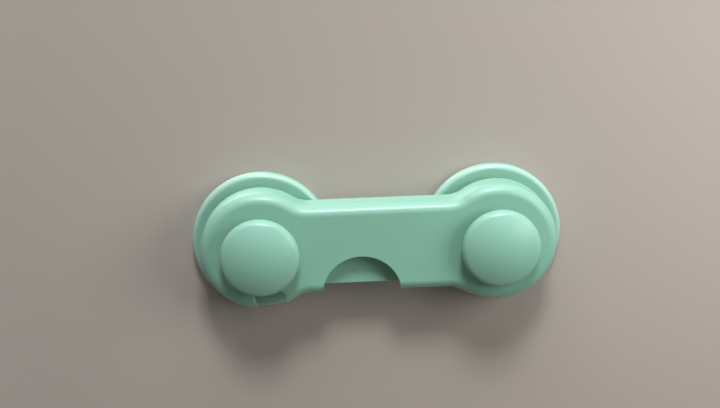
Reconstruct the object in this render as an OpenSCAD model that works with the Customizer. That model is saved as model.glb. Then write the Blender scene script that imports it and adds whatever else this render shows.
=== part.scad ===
// Cabinet safety lock: two stick-on bases, a swinging arm between them and a push button at each end.
// The arm turns about the right-hand post. Its left end drops over the left-hand post and is held there
// until the left button is pressed, which takes the latch collet out of the keyhole in the arm's plate.
// Frame: +X to the right, +Z up, +Y backwards. The face that the pads stick to is y = 0.
// The pieces are drawn lying on their backs (x right, y up, z to the front) and then stood up.

/* [Layout] */
// Distance between the two posts
post_span = 72; // [68:0.5:84]

/* [Pads] */
// Radius of each foam pad
pad_r = 20; // [16:0.1:21]
// Thickness of each foam pad
pad_t = 1; // [0.6:0.1:2]

/* [Bases] */
// Radius of each base disc
base_r = 21.6; // [21.2:0.1:25]
// Thickness of each base disc
base_t = 3.5; // [3:0.1:5]
// Rounding of the disc's front rim
base_round = 1.7; // [0.6:0.1:2.4]
// Rounding of the disc's back rim
base_back_round = 0.5; // [0.2:0.1:0.8]
// Radius of the raised seat under the arm
seat_r = 11; // [9:0.1:14]
// Height of the raised seat
seat_h = 2.1; // [1.9:0.1:3]
// Outer radius of each post
post_r = 3.7; // [3.5:0.05:3.8]
// Height of each post above its seat
post_h = 5; // [4.9:0.1:5.2]
// Radius of the catch flange on the left post
catch_r = 6; // [5:0.1:7]
// Thickness of the catch flange
catch_t = 1.2; // [0.8:0.1:1.8]
// Thickness of the plug that closes each base from behind
plug_t = 0.8; // [0.6:0.1:1]

/* [Buttons] */
// Radius of each button cap
cap_r = 11.85; // [10:0.05:14]
// Height of each button cap at its middle
cap_h = 5.6; // [5.4:0.1:6.4]
// Rounding of the cap's front edge
cap_round = 2.4; // [1.2:0.1:2.6]
// Rounding of the cap's back edge
cap_back_round = 0.5; // [0.2:0.1:0.7]
// Rise of the cap's crown
cap_crown = 3.2; // [2.2:0.1:3.4]
// Wall of the hollow cap
cap_wall = 1.6; // [1.2:0.1:2]
// Radius of the hub inside the cap
hub_r = 4.6; // [3.6:0.1:6]
// Travel of a pressed button
press_travel = 3; // [2.6:0.1:3.2]
// Radius of the plunger's stem
stem_r = 2.5; // [2.3:0.05:2.6]
// Radius of the plunger's stop flange
stop_r = 3.6; // [3.2:0.05:4.4]
// Thickness of the plunger's stop flange
stop_t = 1; // [0.8:0.1:1.2]

/* [Springs] */
// Outer radius of the button spring
spring_r = 1.7; // [1.5:0.05:1.75]
// Radius of the spring's wire
wire_r = 0.25; // [0.2:0.01:0.28]
// Turns in the spring
spring_turns = 10; // [6:1:11]

/* [Arm] */
// Radius of each round head
head_r = 18.2; // [17:0.1:20]
// Half of the arm's height between the heads
bar_half_h = 13.6; // [12.5:0.1:14.5]
// Radius of the hollow blend between head and bar
blend_r = 8; // [4:0.5:12]
// Depth of the arm from its back to its face
arm_depth = 10; // [9.8:0.1:12]
// Rounding of the arm's front edge
arm_round = 3; // [1:0.1:3.2]
// Rounding of the arm's back edge
arm_back_round = 0.4; // [0.2:0.1:0.8]
// Thickness of the arm's front plate
plate_t = 2.2; // [2:0.1:2.6]
// Thickness of the arm's side wall
wall_t = 2; // [1.6:0.1:2.4]
// Thickness of the back cover
cover_t = 1.5; // [1.2:0.1:1.8]

/* [Finger pocket] */
// Radius of the half-moon finger pocket
pocket_r = 12; // [9:0.1:13]
// How far the pocket lies to the left of the arm's middle
pocket_shift = 5.8; // [0:0.1:6.5]
// How far the pocket's centre lies under the arm's lower edge
pocket_drop = 0.8; // [0.1:0.1:3]
// Depth of the pocket, from the arm's face to its back wall
pocket_depth = 4.6; // [4.2:0.1:8]
// How far the pocket's back wall ends above the arm's lower edge
pocket_lip = 1.7; // [0.4:0.1:2.4]
// Wall around the pocket inside the arm
pocket_wall = 1.5; // [1:0.1:2]

/* [Latch] */
// Width of the cover's slot, which slides over the left post
slot_w = 8.4; // [8:0.1:9]
// Width of the front plate's slot, which slides over the collet's legs
plate_slot_w = 7.8; // [7.6:0.1:8.4]
// How far the slot's mouth opens to the right of the left post
mouth_right = 6.9; // [6.7:0.1:8]
// Height of the straight part of the mouth above the head's lower rim
mouth_h = 5; // [3:0.1:6]
// Radius of the keyhole in the front plate
key_r = 5.3; // [5.1:0.1:5.5]
// Outer radius of the collet's legs
collet_leg_r = 3.7; // [3.6:0.05:3.75]
// Thickness of the collet's barbs
barb_t = 1.4; // [1.3:0.1:1.5]
// Number of legs of the collet
collet_legs = 4; // [3:1:6]
// Width of the saw cut between two legs
leg_cut = 0.8; // [0.5:0.1:1.2]

/* [Pivot] */
// Wall of the pivot bush
bush_wall = 1.3; // [1:0.1:1.8]
// Width of the bush's flange
bush_flange_w = 1.4; // [0.8:0.1:2]
// Thickness of the bush's flange
bush_flange_t = 0.6; // [0.5:0.1:0.7]
// Height of the cover's hub that holds the bush
bush_hub_h = 1.3; // [1:0.1:1.4]
// Wall of the cover's hub
bush_hub_wall = 2.2; // [1.5:0.1:3]
// Thickness of the sliding washer
washer_t = 0.4; // [0.3:0.1:0.8]
// Outer radius of the sliding washer
washer_r = 8; // [6:0.1:9]
// Thickness of the retaining clip
clip_t = 0.6; // [0.4:0.1:0.7]
// Outer radius of the retaining clip
clip_r = 5.4; // [4.6:0.1:6]
// Depth of the clip's groove in the post
groove_depth = 0.5; // [0.3:0.05:0.6]
// Width of the mouth of the clip
clip_mouth_w = 4; // [2:0.1:5]

/* [Screws] */
// Radius of a cover screw's shank
screw_r = 1; // [0.8:0.05:1.2]
// Radius of a cover screw's head
screw_head_r = 1.9; // [1.6:0.1:2.2]
// Height of a cover screw's head
screw_head_h = 0.9; // [0.6:0.1:1]
// Length of a cover screw's shank
screw_len = 5; // [3.5:0.1:5.4]
// Width of the cross recess in a screw head
cross_w = 0.5; // [0.3:0.05:0.7]
// Distance of the screws from the posts, towards the middle
screw_inset = 15.5; // [15:0.1:16.5]
// Height of the screws above and below the arm's middle line
screw_rise = 7.6; // [6:0.1:7.8]
// Wall of a screw boss
boss_wall = 1.6; // [1.2:0.1:1.8]

/* [Fits] */
// Running clearance of stems and of the pivot, on the radius
run_fit = 0.05; // [0.02:0.01:0.1]
// Clearance of pieces that are pressed or screwed together
press_fit = 0.02; // [0:0.01:0.04]
// Gap between sliding faces and at the buttons' stops
face_gap = 0.05; // [0.02:0.01:0.1]
// Gap around the back cover and the plugs
seam_gap = 0.12; // [0.05:0.01:0.2]
// Free air between pieces that pass each other
air_gap = 0.3; // [0.2:0.05:0.4]

/* [Hidden] */
$fn = 96;

// Overrun of every cut past the face that it opens
overrun = 1;
// Steps along a head (an even number), a hollow blend, an edge rounding and the rounding of a back rim
head_steps = 40;
blend_steps = 6;
round_steps = 5;
rim_steps = 2;
// Rings in one turn of a spring and sides of its wire
turn_rings = 8;
wire_sides = 6;

// Colours
mint = [0.53, 0.75, 0.67];
foam = [0.86, 0.87, 0.86];
acetal = [0.93, 0.93, 0.9];
steel = [0.7, 0.71, 0.73];

// Heights above the face that the pads stick to
base_front = pad_t + base_t;
seat_d = base_front + seat_h;
post_top = seat_d + post_h;
arm_back = seat_d + washer_t + 2 * face_gap;
arm_front = arm_back + arm_depth;
plate_back = arm_front - plate_t;
cover_front = arm_back + cover_t;
catch_d = cover_front + air_gap;
chamber_back = pad_t + plug_t;
chamber_top = chamber_back + stop_t + press_travel + 2 * face_gap;
stop_d = chamber_top - face_gap - stop_t;
cap_back = arm_front + press_travel + air_gap;
cap_top = cap_back + cap_h;
stem_top = cap_top - cap_crown / 2 - cap_wall;
hub_top = cover_front + bush_hub_h;
clip_d = hub_top + bush_flange_t + 2 * face_gap;
screw_tip = arm_back + screw_head_h + screw_len;

// Radii that follow from a fit
stem_bore_r = stem_r + run_fit;
chamber_r = stop_r + air_gap / 2;
plug_r = chamber_r + plug_t;
spring_bore_r = spring_r + air_gap;
nib_r = spring_r - 2 * wire_r - air_gap;
socket_r = stem_r + press_fit;
slot_half = slot_w / 2;
plate_slot_half = plate_slot_w / 2;
barb_r = key_r - 2 * face_gap;
bush_bore_r = post_r + run_fit;
bush_r = bush_bore_r + bush_wall;
groove_r = post_r - groove_depth;
screw_hole_r = screw_r + press_fit;
boss_r = screw_r + boss_wall;

// Spring, from the plug to the blind end of the plunger's bore
spring_bore_top = plate_back - plug_t;
spring_low = chamber_back + wire_r + face_gap;
spring_high = spring_bore_top - wire_r - face_gap;
spring_mean_r = spring_r - wire_r;
spring_pitch = (spring_high - spring_low) / spring_turns;
nib_h = 2 * spring_pitch;

// Collet, from the cap's hub down to the barbs in the keyhole
barb_front = arm_front - face_gap * 2;
barb_back = plate_back + face_gap * 2;
leg_root = barb_front + press_travel / 2;
barb_in_r = barb_r - barb_t;

// Slot: an arc about the right post, long enough to leave the head's rim
slot_sweep = asin((head_r + slot_half) / post_span);
pocket_x = -post_span / 2 - pocket_shift;
pocket_y = -bar_half_h - pocket_drop;
pocket_back = arm_front - pocket_depth;

// Outline of the arm, drawn in from its outer edge by k
blend_y = bar_half_h + blend_r;
blend_x = sqrt((head_r + blend_r) ^ 2 - blend_y ^ 2);
blend_a = atan2(blend_y, blend_x);

function arc(centre, r, a0, a1, steps) =
    [for (i = [0 : steps]) let (a = a0 + (a1 - a0) * i / steps) centre + r * [cos(a), sin(a)]];

function arm_outline(k) = concat(
    arc([0, 0], head_r - k, blend_a - 180, 180 - blend_a, head_steps),
    arc([-blend_x, blend_y], blend_r + k, -blend_a, -90, blend_steps),
    arc([blend_x - post_span, blend_y], blend_r + k, -90, blend_a - 180, blend_steps),
    arc([-post_span, 0], head_r - k, blend_a, 360 - blend_a, head_steps),
    arc([blend_x - post_span, -blend_y], blend_r + k, 180 - blend_a, 90, blend_steps),
    arc([-blend_x, -blend_y], blend_r + k, 90, blend_a, blend_steps));

// Points of the arm without the doubled ones where two arcs meet
function distinct(points) =
    [for (i = [0 : len(points) - 1])
        if (norm(points[i] - points[(i + 1) % len(points)]) > face_gap) points[i]];

// Rings of the arm's hollow shell, from the cavity's roof over the back rim to the face:
// how far each is drawn in, and its height
arm_rings = concat(
    [[wall_t, plate_back], [wall_t, arm_back]],
    [for (i = [0 : rim_steps]) let (a = 90 * i / rim_steps)
        [arm_back_round * (1 - sin(a)), arm_back + arm_back_round * (1 - cos(a))]],
    [for (i = [0 : round_steps]) let (a = 90 * i / round_steps)
        [arm_round * (1 - cos(a)), arm_front - arm_round * (1 - sin(a))]]);

// Stands a piece that lies on its back upright, with its front towards -Y
module upright() {
    rotate([90, 0, 0]) children();
}

module at_left() {
    translate([-post_span, 0, 0]) children();
}

// A straight round bar or hole between two heights
module rod(r, low, high) {
    translate([0, 0, low]) cylinder(r = r, h = high - low);
}

module tube(r, bore, low, high) {
    difference() {
        rod(r, low, high);
        rod(bore, low - overrun, high + overrun);
    }
}

// A band of the arc that the left post follows through the arm
module post_path(half_w, low, high) {
    rotate([0, 0, 180]) rotate_extrude(angle = slot_sweep)
        translate([post_span - half_w, low]) square([2 * half_w, high - low]);
    at_left() rod(half_w, low, high);
}

// Pads and bases
module pad() {
    color(foam) rod(pad_r, 0, pad_t);
}

function base_profile() = concat(
    [[0, pad_t]],
    arc([base_r - base_back_round, pad_t + base_back_round], base_back_round, -90, 0, round_steps),
    arc([base_r - base_round, base_front - base_round], base_round, 0, 90, round_steps),
    [[seat_r, base_front], [seat_r, seat_d], [0, seat_d]]);

module base() {
    difference() {
        union() {
            rotate_extrude() polygon(base_profile());
            rod(post_r, seat_d - plug_t, post_top);
            children();
        }
        rod(stem_bore_r, pad_t, post_top + overrun);
        rod(chamber_r, pad_t, chamber_top);
        rod(plug_r + seam_gap, pad_t - overrun, chamber_back);
    }
}

module spring_plug() {
    color(acetal) union() {
        rod(plug_r, pad_t, chamber_back);
        rod(nib_r, pad_t, chamber_back + nib_h);
    }
}

// Springs: one unbroken wire, swept ring by ring along its coil
spring_rings = spring_turns * turn_rings;

function spring_point(i) = let (a = 360 * i / turn_rings)
    [spring_mean_r * cos(a), spring_mean_r * sin(a), spring_low + spring_pitch * i / turn_rings];

function spring_ring(i) = let (a = 360 * i / turn_rings)
    [for (j = [0 : wire_sides - 1]) let (b = 360 * j / wire_sides)
        spring_point(i) + wire_r * [cos(b) * cos(a), cos(b) * sin(a), -sin(b)]];

function ring_faces(rings, sides) =
    [for (i = [0 : rings - 1], j = [0 : sides - 1]) let (n = (j + 1) % sides)
        each [[i * sides + j, (i + 1) * sides + n, i * sides + n],
              [i * sides + j, (i + 1) * sides + j, (i + 1) * sides + n]]];

function fan(first, sides, up) =
    [for (j = [1 : sides - 2]) up ? [first, first + j, first + j + 1] : [first, first + j + 1, first + j]];

// Least gap of the wire to itself, measured between points a turn apart
spring_gap = min([for (i = [0 : spring_rings - turn_rings])
    norm(spring_point(i) - spring_point(i + turn_rings)) - 2 * wire_r]);
echo(spring_gap = spring_gap);

module button_spring() {
    color(steel) polyhedron(
        points = [for (i = [0 : spring_rings]) each spring_ring(i)],
        faces = concat(
            fan(0, wire_sides, true),
            ring_faces(spring_rings, wire_sides),
            fan(spring_rings * wire_sides, wire_sides, false)));
}

// Buttons
module plunger() {
    color(acetal) difference() {
        union() {
            rod(stop_r, stop_d, stop_d + stop_t);
            rod(stem_r, stop_d, stem_top);
        }
        rod(spring_bore_r, stop_d - overrun, spring_bore_top);
    }
}

// Crown of a cap, an arc about the axis, and the rounding that leads from the side into it without a kink
crown_r = (cap_r ^ 2 + cap_crown ^ 2) / (2 * cap_crown);
edge_r = cap_r - cap_round;
edge_a = asin(edge_r / (crown_r - cap_round));
edge_d = cap_top - crown_r + (crown_r - cap_round) * cos(edge_a);

function cap_profile() = concat(
    [[0, cap_back]],
    arc([cap_r - cap_back_round, cap_back + cap_back_round], cap_back_round, -90, 0, round_steps),
    arc([edge_r, edge_d], cap_round, 0, 90 - edge_a, round_steps),
    [for (i = [1 : round_steps]) let (a = edge_a * (1 - i / round_steps))
        [crown_r * sin(a), cap_top - crown_r * (1 - cos(a))]]);

module button_cap() {
    color(mint) difference() {
        rotate_extrude() polygon(cap_profile());
        tube(cap_r - cap_wall, hub_r, cap_back - overrun, cap_top - cap_crown - cap_wall);
        rod(socket_r, cap_back - overrun, stem_top + face_gap);
    }
}

// Latch
function collet_profile() = [
    [socket_r, cap_back], [collet_leg_r, cap_back], [collet_leg_r, arm_front + air_gap],
    [barb_r, barb_front], [barb_r, barb_back], [barb_in_r, barb_back], [barb_in_r, barb_front],
    [socket_r, leg_root]];

module latch_collet() {
    color(acetal) upright() at_left() difference() {
        rotate_extrude() polygon(collet_profile());
        for (i = [0 : collet_legs - 1]) rotate([0, 0, 360 * i / collet_legs])
            translate([0, -leg_cut / 2, barb_back - overrun])
                cube([barb_r + overrun, leg_cut, leg_root - barb_back + overrun + air_gap]);
    }
}

// Left end
module left_pad() {
    upright() at_left() pad();
}

module left_base() {
    color(mint) upright() at_left() base() {
        rod(catch_r, catch_d, catch_d + catch_t);
    }
}

module left_spring_plug() {
    upright() at_left() spring_plug();
}

module left_spring() {
    upright() at_left() button_spring();
}

module left_plunger() {
    upright() at_left() plunger();
}

module left_button_cap() {
    upright() at_left() button_cap();
}

// Right end
module right_pad() {
    upright() pad();
}

module right_base() {
    color(mint) upright() difference() {
        base();
        tube(post_r + overrun, groove_r, clip_d, clip_d + clip_t);
    }
}

module right_spring_plug() {
    upright() spring_plug();
}

module right_spring() {
    upright() button_spring();
}

module right_plunger() {
    upright() plunger();
}

module right_button_cap() {
    upright() button_cap();
}

// Pivot
module pivot_washer() {
    color(acetal) upright() tube(washer_r, bush_bore_r, seat_d + face_gap, seat_d + face_gap + washer_t);
}

module pivot_bush() {
    color(acetal) upright() difference() {
        union() {
            rod(bush_r, arm_back, hub_top);
            rod(bush_r + bush_flange_w, hub_top, hub_top + bush_flange_t);
        }
        rod(bush_bore_r, arm_back - overrun, hub_top + bush_flange_t + overrun);
    }
}

module pivot_clip() {
    color(steel) upright() difference() {
        tube(clip_r, groove_r + press_fit, clip_d + press_fit, clip_d + clip_t - press_fit);
        translate([0, -clip_mouth_w / 2, clip_d - overrun])
            cube([clip_r + overrun, clip_mouth_w, clip_t + 2 * overrun]);
    }
}

// Arm
// Closes a ring of the outline with rungs between its upper and its lower edge
function ladder(first, sides, up) = let (tip = head_steps / 2)
    [for (k = [0 : sides / 2 - 1]) let (
        a = first + (tip + k) % sides,
        b = first + (tip + k + 1) % sides,
        c = first + (tip - k - 1 + sides) % sides,
        d = first + (tip - k + sides) % sides,
        rung = a == d ? [a, b, c] : b == c ? [a, b, d] : [a, b, c, d])
        up ? rung : [for (i = [len(rung) - 1 : -1 : 0]) rung[i]]];

module arm_cup() {
    rings = [for (r = arm_rings) [for (p = distinct(arm_outline(r[0]))) [p[0], p[1], r[1]]]];
    sides = len(rings[0]);
    last = len(rings) - 1;
    polyhedron(
        points = [for (r = rings) each r],
        faces = concat(ladder(0, sides, true), ring_faces(last, sides), ladder(last * sides, sides, false)));
}

// A slab of the arm's outline drawn in by k
module arm_slab(k, low, high) {
    translate([0, 0, low]) linear_extrude(high - low) polygon(distinct(arm_outline(k)));
}

module at_screws() {
    for (x = [-screw_inset, screw_inset - post_span], y = [-screw_rise, screw_rise])
        translate([x, y, 0]) children();
}

module at_pocket() {
    translate([pocket_x, pocket_y, 0]) children();
}

// The wider mouth of the plate's slot, straight at the rim and then tapered
module slot_mouth() {
    translate([-post_span, -head_r, plate_back - overrun]) linear_extrude(plate_t + 2 * overrun)
        polygon([[0, -overrun], [mouth_right, -overrun], [mouth_right, mouth_h], [0, 2 * mouth_h]]);
}

module arm_shell() {
    color(mint) upright() difference() {
        union() {
            arm_cup();
            at_screws() rod(boss_r, cover_front, plate_back + plate_t / 2);
            intersection() {
                arm_slab(wall_t / 2, cover_front, plate_back + plate_t / 2);
                at_pocket() rod(pocket_r + pocket_wall, cover_front, arm_front);
            }
        }
        at_pocket() rod(pocket_r, arm_back - overrun, arm_front + overrun);
        at_screws() rod(screw_hole_r, arm_back, screw_tip + air_gap);
        post_path(plate_slot_half, plate_back - overrun, arm_front + overrun);
        slot_mouth();
        post_path(catch_r + air_gap, arm_back - overrun, plate_back);
        at_left() rod(key_r, plate_back - overrun, arm_front + overrun);
        rod(stem_r + air_gap, plate_back - overrun, arm_front + overrun);
    }
}

// The raised pan of the cover, whose front is the pocket's back wall, drawn in by k
module pocket_pan(k, low, high) {
    intersection() {
        arm_slab(pocket_lip + k, low, high);
        at_pocket() rod(pocket_r - seam_gap - k, low, high);
    }
}

module arm_back_cover() {
    color(mint) upright() difference() {
        union() {
            arm_slab(wall_t + seam_gap, arm_back, cover_front);
            pocket_pan(0, arm_back, pocket_back);
            rod(bush_r + bush_hub_wall, cover_front - cover_t / 2, hub_top);
        }
        pocket_pan(cover_t, arm_back - overrun, pocket_back - cover_t);
        rod(bush_r + press_fit, arm_back - overrun, hub_top + overrun);
        post_path(slot_half, arm_back - overrun, cover_front + overrun);
        at_screws() rod(screw_head_r + seam_gap, arm_back - overrun, arm_back + screw_head_h);
        at_screws() rod(screw_r + seam_gap, arm_back, screw_tip + air_gap);
    }
}

module cover_screw() {
    difference() {
        union() {
            rod(screw_head_r, arm_back, arm_back + screw_head_h);
            rod(screw_r, arm_back, screw_tip);
        }
        for (a = [0, 90]) rotate([0, 0, a])
            translate([-screw_r, -cross_w / 2, arm_back - overrun])
                cube([2 * screw_r, cross_w, overrun + screw_head_h / 2]);
    }
}

module cover_screws() {
    color(steel) upright() at_screws() cover_screw();
}

left_pad();
left_base();
left_spring_plug();
left_spring();
left_plunger();
left_button_cap();
latch_collet();
right_pad();
right_base();
right_spring_plug();
right_spring();
right_plunger();
right_button_cap();
pivot_washer();
pivot_bush();
pivot_clip();
arm_shell();
arm_back_cover();
cover_screws();
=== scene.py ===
# %% [markdown]
# A cabinet safety lock
#
# Two round bases are stuck side by side on an upright face. A hollow arm, shaped like a bone, bridges
# them and swings about the right-hand post, and a domed button stands out of each of its round heads. All
# that shows is moulded in one mint green plastic with a satin skin. The measured model is loaded first as
# a fixed frame. Every piece below is then drawn in its finished form, exactly where the frame has its
# plain solid.

# %% Load the frame
import math

import bmesh
import bpy
from mathutils import Matrix, Vector


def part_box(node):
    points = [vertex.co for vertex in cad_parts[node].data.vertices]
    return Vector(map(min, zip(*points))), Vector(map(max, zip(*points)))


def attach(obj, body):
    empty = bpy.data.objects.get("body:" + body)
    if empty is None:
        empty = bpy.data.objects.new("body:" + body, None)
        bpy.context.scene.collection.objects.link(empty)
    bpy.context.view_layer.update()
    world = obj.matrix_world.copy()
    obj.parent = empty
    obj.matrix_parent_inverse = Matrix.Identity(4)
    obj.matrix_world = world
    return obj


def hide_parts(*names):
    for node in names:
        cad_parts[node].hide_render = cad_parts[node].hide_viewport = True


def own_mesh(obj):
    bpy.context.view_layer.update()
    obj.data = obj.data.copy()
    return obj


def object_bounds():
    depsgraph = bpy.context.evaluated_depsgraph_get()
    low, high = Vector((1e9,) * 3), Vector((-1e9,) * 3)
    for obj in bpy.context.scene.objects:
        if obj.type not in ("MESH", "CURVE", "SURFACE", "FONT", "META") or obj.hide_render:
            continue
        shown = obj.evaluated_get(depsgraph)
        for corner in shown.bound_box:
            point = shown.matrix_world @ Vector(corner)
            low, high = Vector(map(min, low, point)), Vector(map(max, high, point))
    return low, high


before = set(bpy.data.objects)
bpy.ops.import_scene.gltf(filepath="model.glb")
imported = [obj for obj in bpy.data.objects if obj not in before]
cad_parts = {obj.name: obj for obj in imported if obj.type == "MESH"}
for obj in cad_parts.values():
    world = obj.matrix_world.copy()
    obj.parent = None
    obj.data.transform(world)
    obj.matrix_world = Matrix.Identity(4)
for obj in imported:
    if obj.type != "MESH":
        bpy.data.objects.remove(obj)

MM = 0.001
CAD_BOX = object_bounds()

# %% [markdown]
# The camera
#
# The viewpoint comes first, because it decides which surfaces count most. The lock is seen from a little
# above, by a camera that is turned and tipped very slightly. A camera can be set by its location and
# three angles. Here it turns about a point that it aims at instead, so that each small tilt of the
# picture stays readable as one number. The lens is given as a focal length in pixels, which the
# sensor's width turns into millimetres.

# %% Camera
PICTURE_WIDTH = 720
FOCAL_PIXELS = 1094.4
SENSOR_WIDTH = 36.0
AIM_AT = Vector((-41.05, 0.0, 9.61)) * MM
CAMERA_DISTANCE = 343.1 * MM
CAMERA_YAW, CAMERA_PITCH, CAMERA_ROLL = -0.035, 0.264, -0.031


def link_object(name, data):
    """A new object in the scene."""
    obj = bpy.data.objects.new(name, data)
    bpy.context.scene.collection.objects.link(obj)
    return obj


camera = link_object("camera", bpy.data.cameras.new("camera"))
bpy.context.scene.camera = camera
camera.data.sensor_width = SENSOR_WIDTH
camera.data.lens = FOCAL_PIXELS * SENSOR_WIDTH / PICTURE_WIDTH
camera.data.clip_start = MM
camera.matrix_world = (
    Matrix.Translation(AIM_AT)
    @ Matrix.Rotation(CAMERA_YAW, 4, "Z")
    @ Matrix.Rotation(math.pi / 2 - CAMERA_PITCH, 4, "X")
    @ Matrix.Rotation(CAMERA_ROLL, 4, "Z")
    @ Matrix.Translation((0, 0, CAMERA_DISTANCE))
)
print("lens %.1f mm" % camera.data.lens)

# %% [markdown]
# A pale stage
#
# The lock hangs on an upright face, so the stage is a pale wall just behind the pads, and a pale floor
# far below. One sheet with a bend could be both. Two flat sheets are simpler, and the wall stays exactly
# upright.

# %% Wall and floor
WALL_GAP = 0.3 * MM
STAGE_HALF = 3.0
FLOOR_DROP = 1.0


def link_mesh(name, points, edges, faces):
    """A new object in the scene, made of points and the edges or faces between them."""
    mesh = bpy.data.meshes.new(name)
    mesh.from_pydata(points, edges, faces)
    return link_object(name, mesh)


def rectangle(left, right, low, high):
    """The four corners of an upright rectangle, or of one that lies flat."""
    return [(left, low), (right, low), (right, high), (left, high)]


def flat_sheet(name, corners):
    """One flat face, made from its corners."""
    sheet = link_mesh(name, corners, [], [range(len(corners))])
    return sheet


wall = flat_sheet("wall", [(x, WALL_GAP, up) for x, up in
                           rectangle(-STAGE_HALF, STAGE_HALF, -FLOOR_DROP, STAGE_HALF)])
floor = flat_sheet("floor", [(x, y, -FLOOR_DROP) for x, y in
                             rectangle(-STAGE_HALF, STAGE_HALF, -STAGE_HALF, STAGE_HALF)])
print("stage:", wall.name, floor.name, "each %.0f m wide" % (2 * STAGE_HALF))

# %% [markdown]
# Paint for the stage
#
# A wall hides the back of the lock from a camera that walks round it. It could be switched off for such
# views, but someone has to think of it. Its paint is therefore clear to rays that meet it from behind,
# and to shadow rays, so that a lamp behind it can light the back. The lamps stand close to the lock, and
# the far stretches of the stage would fall dark, so these glow a little, for the camera alone.

# %% Glow of the far stretches
STAGE_COLOUR = (0.47, 0.42, 0.375, 1.0)
GLOW_START, GLOW_END = 0.15, 0.60
WALL_GLOW, FLOOR_GLOW = 0.50, 0.85


def add_node(tree, kind, operation=None, **values):
    """A new node, with its operation and its named inputs set."""
    node = tree.nodes.new(kind)
    if operation:
        node.operation = operation
    for name, value in values.items():
        node.inputs[name.replace("_", " ")].default_value = value
    return node


def join(tree, *links):
    """Links pairs of sockets, each from an output to an input."""
    for source, target in links:
        tree.links.new(source, target)


def far_glow(tree, glow):
    """A glow that grows with the distance from the lock."""
    place = add_node(tree, "ShaderNodeTexCoord").outputs["Object"]
    distance = add_node(tree, "ShaderNodeVectorMath", "LENGTH")
    spread = add_node(tree, "ShaderNodeMapRange", From_Min=GLOW_START, From_Max=GLOW_END, To_Max=glow)
    join(tree, (place, distance.inputs[0]), (distance.outputs["Value"], spread.inputs["Value"]))
    return spread.outputs["Result"]


print("the stage glows from %.2f m off, and in full from %.2f m" % (GLOW_START, GLOW_END))


# %% Stage paint
def empty_material(name):
    """A material with nothing but its output node."""
    material = bpy.data.materials.new(name)
    material.use_nodes = True
    material.node_tree.nodes.clear()
    return material, material.node_tree, material.node_tree.nodes.new("ShaderNodeOutputMaterial")


def larger(tree, first, second):
    """The larger of two values."""
    node = add_node(tree, "ShaderNodeMath", "MAXIMUM")
    join(tree, (first, node.inputs[0]), (second, node.inputs[1]))
    return node.outputs[0]


def mixed(tree, share, first, second):
    """The first shader, turning into the second as the share grows to 1."""
    node = add_node(tree, "ShaderNodeMixShader")
    join(tree, *zip((share, first.outputs[0], second.outputs[0]), node.inputs))
    return node


def stage_paint(name, glow):
    """Matt paint that is clear from behind and for shadow rays. Its glow is for the camera alone."""
    material, tree, output = empty_material(name)
    matt = add_node(tree, "ShaderNodeBsdfDiffuse", Color=STAGE_COLOUR)
    light = add_node(tree, "ShaderNodeEmission", Color=STAGE_COLOUR)
    dark = add_node(tree, "ShaderNodeEmission", Strength=0.0)
    clear = add_node(tree, "ShaderNodeBsdfTransparent")
    both = add_node(tree, "ShaderNodeAddShader")
    path = add_node(tree, "ShaderNodeLightPath").outputs
    side = add_node(tree, "ShaderNodeNewGeometry").outputs
    glowing = mixed(tree, path["Is Camera Ray"], dark, light)
    seen = mixed(tree, larger(tree, side["Backfacing"], path["Is Shadow Ray"]), both, clear)
    join(tree, (far_glow(tree, glow), light.inputs["Strength"]), (matt.outputs[0], both.inputs[0]),
         (glowing.outputs[0], both.inputs[1]), (seen.outputs[0], output.inputs["Surface"]))
    return material


wall.data.materials.append(stage_paint("pale_wall", WALL_GLOW))
floor.data.materials.append(stage_paint("pale_floor", FLOOR_GLOW))
print("stage paints:", wall.data.materials[0].name, floor.data.materials[0].name)

# %% [markdown]
# Soft lamps
#
# The lock is seen in a room, lit from high in front and from a wide ceiling. A sun lamp would be quicker
# to set, but its shadow has a hard edge. Square area lamps give soft shadows, and each has one task here.
# The key lamp draws the shadow below the lock, the cool ceiling lights every upper rounding, the side
# lamp lifts the right-hand head, and the back lamp serves the views from behind.

# %% Lamps
LOCK_MIDDLE = (CAD_BOX[0] + CAD_BOX[1]) / 2
NEUTRAL, COOL = (1.0, 1.0, 1.0), (0.97, 1.0, 1.08)
LAMPS = (  # name, offset from the lock and width in metres, watts, tint
    ("key_lamp", (0.03, -0.55, 0.83), 0.20, 5.1, NEUTRAL),
    ("ceiling_glow", (0.0, -0.17, 0.98), 1.00, 7.7, COOL),
    ("side_lamp", (0.219, -0.183, 0.093), 0.17, 0.42, NEUTRAL),
    ("back_lamp", (-0.35, 0.80, 0.55), 0.60, 5.5, NEUTRAL))


def soft_lamp(name, offset, width, watts, tint):
    """A square area lamp at an offset from the lock, aimed at it."""
    lamp = link_object(name, bpy.data.lights.new(name, "AREA"))
    lamp.data.size = width
    lamp.data.energy = watts
    lamp.data.color = tint
    lamp.location = LOCK_MIDDLE + Vector(offset)
    lamp.rotation_mode = "QUATERNION"
    lamp.rotation_quaternion = (-Vector(offset)).to_track_quat("-Z", "Y")
    return lamp


print("lamps:", [soft_lamp(*lamp).name for lamp in LAMPS])

# %% [markdown]
# A dim room
#
# Some light also comes from all sides, as it does from the walls of a room. A photographed panorama could
# give it, with reflections of things that aren't there. An even, dim world is plainer. The camera and
# mirrored rays see it as a backdrop in the stage's own colour.

# %% Room
ROOM_COLOUR = (1.0, 0.98, 0.95, 1.0)
ROOM_LIGHT = 0.12


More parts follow.
